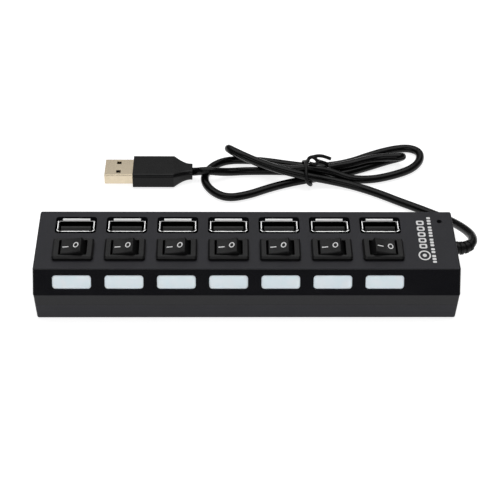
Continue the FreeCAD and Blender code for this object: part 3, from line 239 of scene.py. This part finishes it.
def port_steel():
    """Tin-plated shells, bright on their lips; down in the mouth they are duller and painted dark as shade."""
    surface = Surface("port_steel", Metallic=1.0)
    patch = surface.noise(4.0, 3.0)
    normal, level = plane(deck(0, 0, -PAINTED_SHADE_DEPTH))
    lip_above_painted_shade = surface.ramp(
        surface.along(normal), (level - PAINTED_SHADE_FADE / 2) * MM, (level + PAINTED_SHADE_FADE / 2) * MM
    )
    bright = surface.shade(patch, grey(0.86), grey(0.94))
    # Down in the mouth the shell takes grey(0.012), painted shade; on the lip it keeps the plating's own colour.
    surface.link("Base Color", surface.blend(lip_above_painted_shade, grey(0.012), bright))
    surface.link("Roughness", surface.mix(lip_above_painted_shade, 0.5, 0.3))
    surface.bump(surface.noise(0.5, 3.0), 0.004)
    return surface.material


def window_surface():
    """Milky translucent plastic with a faint painted glow that brightens it."""
    surface = Surface(
        "window", IOR=1.46, Subsurface_Weight=0.35, Subsurface_Scale=2 * MM,
        Subsurface_Radius=(0.9, 1.0, 1.1), Emission_Color=(0.86, 0.96, 1.0, 1.0),
        Emission_Strength=0.13,
    )
    surface.tint(surface.noise(5.0), (0.76, 0.87, 0.94, 1), (0.84, 0.92, 0.98, 1))
    surface.link("Roughness", surface.between(surface.noise(0.4), 0.3, 0.38))
    surface.bump(surface.noise(0.6), 0.006)
    return surface.material


def board_surface():
    """Green board with tracks that show faintly through its mask."""
    surface = Surface("board", IOR=1.5)
    tracks = surface.noise(1.2, 0.0, (0.3, 1.0, 1.0))
    surface.tint(tracks, (0.01, 0.10, 0.05, 1), (0.02, 0.18, 0.08, 1))
    surface.link("Roughness", surface.between(surface.noise(0.5), 0.25, 0.35))
    surface.bump(tracks, 0.02)
    return surface.material


def cord_surface(name, level, rough):
    """Soft black cord jacket with faint drawn lines and fingermarks."""
    surface = Surface(name, IOR=1.48, Specular_IOR_Level=0.2)
    patch = surface.noise(7.0, 3.0)
    fine = surface.noise(0.5, 3.0)
    surface.tint(patch, grey(level * 0.8, 0.05), grey(level * 1.2, 0.05))
    surface.link("Roughness", surface.between(patch, rough - 0.05, rough + 0.07))
    surface.bump(fine, 0.012)
    return surface.material


CASE = case_surface()
SWITCH = plastic("switch", grey(0.006, 0.03), grey(0.009, 0.03), 0.36, 0.2, 0.014)
ROCKER = plastic("rocker", grey(0.005, 0.03), grey(0.007, 0.03), 0.38, 0.22, 0.016)
MARK = plastic("mark", grey(0.72), grey(0.82), 0.5, 0.3, 0.01)
WINDOW = window_surface()
STEEL = port_steel()
# The plug's shell is the steel's own grey with a warm tint, a painted reflection of warm surroundings.
PLUG_STEEL_WARM_REFLECTION = steel(
    "plug_steel", (0.62, 0.53, 0.39, 1), (0.70, 0.60, 0.45, 1), 0.2, (1, 12, 12)
)
GOLD = steel("gold", (0.75, 0.52, 0.18, 1), (0.85, 0.62, 0.25, 1), 0.22)
BRASS = steel("brass", (0.62, 0.45, 0.2, 1), (0.75, 0.56, 0.28, 1), 0.3)
ZINC = steel("zinc", grey(0.45), grey(0.6), 0.34)
CAN = steel("can", grey(0.6), grey(0.72), 0.3, (8, 8, 1))
TONGUE = plastic("tongue", grey(0.013), grey(0.017), 0.4)
CHIP = plastic("chip", grey(0.016), grey(0.022), 0.55)
JACK = plastic("jack", grey(0.012), grey(0.016), 0.3)
LAMP = plastic(
    "lamp", (0.7, 0.78, 0.85, 1), (0.8, 0.86, 0.9, 1), 0.15, Transmission_Weight=0.5
)
WIRE = plastic("wire", (0.45, 0.03, 0.02, 1), (0.55, 0.05, 0.03, 1), 0.4)
BOARD = board_surface()
CORD = cord_surface("cord", 0.002, 0.22)
RELIEF = cord_surface("relief", 0.005, 0.38)
TIE = cord_surface("tie", 0.005, 0.34)
GRIP = plastic(
    "grip", grey(0.003, 0.05), grey(0.005, 0.05), 0.3, 0.3, Specular_IOR_Level=0.18
)

SURFACES = {
    "case_plastic": CASE, "switch_plastic": SWITCH, "rocker_plastic": ROCKER,
    "window_plastic": WINDOW, "port_steel": STEEL, "tongue_plastic": TONGUE,
    "contact_gold": GOLD, "contact_brass": BRASS, "screw_steel": ZINC,
    "board_green": BOARD, "chip_black": CHIP, "can_metal": CAN, "lamp_clear": LAMP,
    "jack_plastic": JACK, "cord_rubber": RELIEF, "tie_plastic": TIE,
    "plug_plastic": GRIP, "wire_plastic": WIRE,
}


def dress_nodes():
    """Every CAD node gets its slot's surface, and the plug's shell its own."""
    for part in frame["record"]["subparts"]:
        surface = SURFACES[part["material_slot"]]
        if part["node"] == "plug_shell":
            surface = PLUG_STEEL_WARM_REFLECTION
        mesh = nodes[part["node"]].data
        mesh.materials.clear()
        mesh.materials.append(surface)


# Pieces -----------------------------------------------------------------------------


def add_object(name, data):
    added = bpy.data.objects.new(name, data)
    bpy.context.scene.collection.objects.link(added)
    return added


def add_mesh(name, shape, surface, place):
    """An object from a bmesh whose points are in millimetres in the frame of place."""
    shape.transform(Matrix.Scale(MM, 4) @ place)
    bmesh.ops.recalc_face_normals(shape, faces=shape.faces)
    mesh = bpy.data.meshes.new(name)
    shape.to_mesh(mesh)
    shape.free()
    mesh.materials.append(surface)
    return add_object(name, mesh)


def mesh_piece(name, shape, surface, body, place):
    piece = add_mesh(name, shape, surface, place)
    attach(piece, body)


def add_band(shape, outer, inner, low, high):
    """A flat band between two loops with equally many points, from z low to z high."""
    rings = [
        [shape.verts.new((x, y, z)) for x, y in loop]
        for loop, z in ((outer, low), (outer, high), (inner, high), (inner, low))
    ]
    count = len(outer)
    for ring, after in zip(rings, rings[1:] + rings[:1]):
        for k in range(count):
            n = (k + 1) % count
            shape.faces.new((ring[k], ring[n], after[n], after[k]))


def add_slab(shape, loop, low, high):
    """A flat slab inside one loop, from z low to z high."""
    bottom = [shape.verts.new((x, y, low)) for x, y in loop]
    top = [shape.verts.new((x, y, high)) for x, y in loop]
    shape.faces.new(top)
    shape.faces.new(bottom[::-1])
    for k in range(len(loop)):
        n = (k + 1) % len(loop)
        shape.faces.new((bottom[k], bottom[n], top[n], top[k]))


def oval(width, height, count=40, x=0.0, y=0.0):
    turns = [2 * math.pi * k / count for k in range(count)]
    return [(x + width / 2 * math.cos(t), y + height / 2 * math.sin(t)) for t in turns]


def rounded_rectangle(width, height, radius, x=0.0, y=0.0, steps=6):
    points = []
    for quarter, (sx, sy) in enumerate(((1, 1), (-1, 1), (-1, -1), (1, -1))):
        for k in range(steps + 1):
            turn = math.pi / 2 * (quarter + k / steps)
            points.append((
                x + sx * (width / 2 - radius) + radius * math.cos(turn),
                y + sy * (height / 2 - radius) + radius * math.sin(turn),
            ))
    return points


# At rest a rocker leans by this much, the last one to the other side. The halves of its
# top lean towards a valley, which is this far over its pins.
ROCKER_REST = 11.0
ROCKER_LEAN = 4.5
ROCKER_VALLEY = 3.5
# A mark's under and upper side, counted from the surface it lies on.
ROCKER_MARK = (-0.05, 0.035)
DECK_MARK = (-0.02, 0.03)
# A rounded bar is a width, a height and a corner's radius, and an oval the first two.
DASH = (2.3, 0.45, 0.18)
DASH_PLACE = (-1.95, -0.4)
RING_OUTER = (2.1, 2.65)
RING_INNER = (1.3, 1.8)
RING_PLACE = 1.9


def make_rocker_marks():
    """A dash on each rocker's left half and a ring on its right half."""
    lean = math.radians(ROCKER_LEAN)
    for number in STATIONS:
        side = 1 if number == STATIONS[-1] else -1
        rocker = Matrix.Translation(pivot(number)) @ Matrix.Rotation(TILT, 4, "X")
        rocker = rocker @ Matrix.Rotation(math.radians(side * ROCKER_REST), 4, "Y")
        for label, x, half in (("dash", DASH_PLACE[0], 1), ("ring", RING_PLACE, -1)):
            height = ROCKER_VALLEY + abs(x) * math.tan(lean)
            place = rocker @ Matrix.Translation((x, 0, height))
            place = place @ Matrix.Rotation(half * lean, 4, "Y")
            shape = bmesh.new()
            if label == "dash":
                loop = rounded_rectangle(*DASH, 0, DASH_PLACE[1])
                add_slab(shape, loop, *ROCKER_MARK)
            else:
                add_band(shape, oval(*RING_OUTER), oval(*RING_INNER), *ROCKER_MARK)
            name = f"{label}_{number}"
            mesh_piece(name, shape, MARK, f"rocker_{number}", place)


# The print is a column with a badge at its foot and links above it, and a column of
# bars in groups beside it. Each "up" is the middle of the lowest one, up the deck.
COLUMN = 65.3
BADGE_UP = 7.4
BADGE_OUTER = (4.6, 4.9)
BADGE_INNER = (3.5, 3.8)
BADGE_DOT = (1.5, 1.6)
LINK_OUTER = (2.9, 2.35, 0.7)
LINK_INNER = (1.6, 1.15, 0.4)
LINKS = 5
LINK_UP = 12.1
LINK_STEP = 3.05
BAR_COLUMN = 68.7
BAR = (1.4, 1.05, 0.3)
BAR_GROUPS = (3, 2, 3, 4, 3)
BAR_UP = 4.12
BAR_STEP = 1.45
GROUP_GAP = 0.6


def make_print():
    """A printed column of plain rings and bars to the right of the ports."""
    shape = bmesh.new()
    for k in range(LINKS):
        middle = (COLUMN, LINK_UP + LINK_STEP * k)
        outer = rounded_rectangle(*LINK_OUTER, *middle)
        inner = rounded_rectangle(*LINK_INNER, *middle)
        add_band(shape, outer, inner, *DECK_MARK)
    outer = oval(*BADGE_OUTER, x=COLUMN, y=BADGE_UP)
    inner = oval(*BADGE_INNER, x=COLUMN, y=BADGE_UP)
    add_band(shape, outer, inner, *DECK_MARK)
    add_slab(shape, oval(*BADGE_DOT, count=24, x=COLUMN, y=BADGE_UP), *DECK_MARK)
    up = BAR_UP
    for bars in BAR_GROUPS:
        for _ in range(bars):
            bar = rounded_rectangle(*BAR, BAR_COLUMN, up, steps=4)
            add_slab(shape, bar, *DECK_MARK)
            up += BAR_STEP
        up += GROUP_GAP
    mesh_piece("deck_print", shape, MARK, HUB, deck(0, 0))


# Cord -------------------------------------------------------------------------------

CORD_RADIUS = 1.75
ROUTE = [
    # The strain relief to the tie.
    (86.26, 13.163, 11.6), (87.2, 14.15, 11.6), (88.0, 16.9, 11.2), (88.2, 21.0, 10.2),
    (86.9, 26.4, 8.8), (84.7, 32.7, 6.7), (82.1, 39.0, 4.3), (78.6, 44.7, 2.2),
    (72.4, 49.8, 1.75), (64.4, 55.0, 1.75), (56.0, 61.0, 1.75), (46.5, 66.4, 1.75),
    (36.5, 69.1, 2.6), (27.5, 67.9, 5.3),
    # Left fold.
    (18.5, 68.9, 7.1), (10.5, 72.0, 7.9), (3.8, 75.3, 8.8), (-0.9, 77.2, 10.0),
    (-5.3, 80.6, 10.3), (-6.6, 83.1, 9.5), (-6.0, 85.1, 7.7), (-3.9, 85.6, 5.8),
    (-1.6, 84.4, 5.2), (2.2, 81.8, 5.0), (6.5, 78.4, 5.0), (12.0, 75.2, 5.3),
    (19.5, 72.2, 5.9), (27.5, 71.6, 7.2),
    # Right outer loop.
    (36.5, 72.4, 5.0), (45.0, 70.6, 2.1), (54.5, 70.9, 1.75), (64.0, 74.2, 1.75),
    (72.2, 78.8, 1.75), (76.8, 85.2, 1.75), (77.5, 92.2, 1.75), (72.8, 95.5, 1.75),
    (65.2, 94.0, 1.75), (56.0, 89.8, 1.75), (46.0, 83.8, 1.75), (36.5, 79.7, 2.6),
    (27.5, 77.3, 3.9),
    # Left big loop.
    (19.5, 80.2, 3.0), (10.5, 84.4, 1.75), (1.0, 85.8, 1.75), (-8.2, 85.2, 1.75),
    (-14.6, 79.6, 1.75), (-17.2, 71.6, 1.75), (-14.5, 63.2, 1.75), (-7.6, 57.2, 1.75),
    (1.6, 59.6, 1.75), (10.0, 64.4, 1.75), (18.6, 68.3, 1.75), (27.5, 70.0, 2.6),
    # Right inner fold.
    (35.5, 73.1, 1.75), (44.5, 76.2, 1.75), (53.0, 80.2, 1.75), (59.0, 83.4, 1.75),
    (63.3, 85.6, 1.75), (66.4, 86.3, 2.2), (68.5, 85.2, 3.7), (68.5, 82.9, 5.6),
    (66.0, 81.3, 6.4), (60.5, 82.6, 5.4), (53.5, 81.8, 4.9), (45.5, 77.7, 5.0),
    (36.5, 76.1, 4.4), (27.5, 74.0, 2.6),
    # The tie to the plug.
    (18.5, 77.2, 1.75), (9.5, 77.3, 1.75), (0.5, 77.2, 1.75), (-6.5, 75.8, 2.2),
    (-11.0, 73.4, 4.0), (-14.6, 71.9, 5.5), (-17.8, 72.3, 5.1), (-20.2, 73.9, 3.7),
    (-22.0, 74.3, 3.4),
]


def curve_piece(name, routes, radius, surface):
    """Round strands along lists of control points, on the hub."""
    curve = bpy.data.curves.new(name, "CURVE")
    curve.dimensions = "3D"
    curve.bevel_depth = radius * MM
    curve.bevel_resolution = 6
    curve.resolution_u = 8
    curve.use_fill_caps = True
    for route in routes:
        spline = curve.splines.new("NURBS")
        spline.points.add(len(route) - 1)
        for point, spot in zip(spline.points, route):
            point.co = (*(Vector(spot) * MM), 1.0)
        spline.order_u = 3
        spline.use_endpoint_u = True
        spline.use_smooth = True
    curve.materials.append(surface)
    piece = add_object(name, curve)
    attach(piece, HUB)
    return piece


TIE_RADIUS = 0.73
TIE_BAND = [
    # Round the bundle, once.
    (27.3, 73.4, 9.9), (26.4, 72.6, 9.6), (26.0, 71.4, 9.5), (26.1, 69.0, 8.5),
    (26.0, 66.0, 6.8), (26.3, 65.2, 4.8), (27.4, 65.7, 3.0), (28.4, 67.4, 1.4),
    (28.3, 69.6, 0.74), (27.4, 75.0, 0.74), (26.4, 78.6, 1.0), (25.7, 79.7, 3.6),
    (25.4, 78.3, 6.1), (25.9, 75.4, 7.9),
    # The loop where it is twisted.
    (26.9, 73.6, 9.4), (27.4, 74.0, 10.6), (28.6, 74.1, 11.3), (29.9, 73.8, 10.8),
    (31.2, 73.2, 9.6), (30.5, 72.1, 8.9), (29.0, 71.7, 9.1), (27.7, 72.3, 9.3),
]
TIE_TAILS = [
    [
        (28.2, 74.2, 11.0), (29.5, 74.6, 11.0), (31.2, 74.6, 11.5), (33.1, 74.5, 11.4),
        (35.0, 74.5, 10.7), (36.7, 74.5, 10.0),
    ],
    [
        (30.9, 73.2, 9.9), (31.5, 74.4, 9.1), (32.7, 75.0, 8.1), (34.2, 75.4, 7.4),
        (35.6, 75.7, 6.5),
    ],
]


def make_tie():
    """A twist tie: one loose turn, a loop where it is twisted, and two tails."""
    tie = curve_piece("tie", [TIE_BAND, *TIE_TAILS], TIE_RADIUS, TIE)
    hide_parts("twist_tie")
    return tie


def make_cord():
    cord = curve_piece("cord", [ROUTE], CORD_RADIUS, CORD)
    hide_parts("cord_lead", "cord_hank", "cord_plug_lead")
    return cord


# Floor, lights and camera -----------------------------------------------------------

# The camera looks down and to the right by these angles, and is rolled.
CAMERA_PLACE = (-9.4, -370.3, 309.6)
CAMERA_DOWN = 38.08
CAMERA_ASIDE = 1.63
CAMERA_ROLL = 1.04
CAMERA_LENS = 91.2
SENSOR_WIDTH = 36.0
CLIP_START = 10.0

# The sheet of paper under the hub: its width, its corners' radius and its two sides.
FLOOR_WIDTH = 6000.0
FLOOR_CORNER = 500.0
FLOOR_LEVELS = (-2.0, -0.05)

WORLD_STRENGTH = 0.1
# Name, place, target, size and power, in metres and watts.
LIGHTS = [
    ("top", (0.0, 0.25, 1.1), (0.0, 0.03, 0.0), (1.7, 1.0), 10.6),
    ("back", (0.0, 1.35, 1.05), (0.0, 0.05, 0.0), (2.0, 0.5), 2.5),
    ("front", (-0.25, -1.05, 0.68), (0.0, 0.02, 0.0), (1.2, 0.4), 2.9),
]


def make_camera():
    down = math.radians(CAMERA_DOWN)
    aside = math.radians(CAMERA_ASIDE)
    roll = math.radians(CAMERA_ROLL)
    level = Vector((math.sin(aside), math.cos(aside), 0)) * math.cos(down)
    forward = level - Vector((0, 0, math.sin(down)))
    right = Vector((math.cos(aside), -math.sin(aside), 0))
    up = right.cross(forward)
    turned = right * math.cos(roll) + up * math.sin(roll)
    up = up * math.cos(roll) - right * math.sin(roll)
    data = bpy.data.cameras.new("camera")
    data.lens = CAMERA_LENS
    data.sensor_width = SENSOR_WIDTH
    data.clip_start = CLIP_START * MM
    camera = add_object("camera", data)
    turn = Matrix((turned, up, -forward)).transposed().to_4x4()
    camera.matrix_world = Matrix.Translation(Vector(CAMERA_PLACE) * MM) @ turn
    bpy.context.scene.camera = camera


def make_floor():
    surface = Surface(
        "floor_paper", Roughness=0.9, Emission_Color=grey(1.0), Emission_Strength=0.82
    )
    surface.tint(surface.noise(60.0), grey(0.45), grey(0.48))
    shape = bmesh.new()
    loop = rounded_rectangle(FLOOR_WIDTH, FLOOR_WIDTH, FLOOR_CORNER)
    add_slab(shape, loop, *FLOOR_LEVELS)
    add_mesh("floor", shape, surface.material, Matrix.Identity(4))


def area_light(name, spot, target, size, power):
    data = bpy.data.lights.new(name, "AREA")
    data.shape = "RECTANGLE"
    data.size, data.size_y = size
    data.energy = power
    lamp = add_object(name, data)
    lamp.location = spot
    ray = Vector(target) - Vector(spot)
    lamp.rotation_euler = ray.to_track_quat("-Z", "Y").to_euler()


def make_lights():
    world = bpy.data.worlds.new("studio")
    world.use_nodes = True
    background = world.node_tree.nodes["Background"]
    background.inputs["Color"].default_value = grey(1.0)
    background.inputs["Strength"].default_value = WORLD_STRENGTH
    bpy.context.scene.world = world
    bpy.context.scene.view_settings.view_transform = "Standard"
    for light in LIGHTS:
        area_light(*light)


dress_nodes()
make_rocker_marks()
make_print()
make_cord()
make_tie()
make_camera()
make_floor()
make_lights()
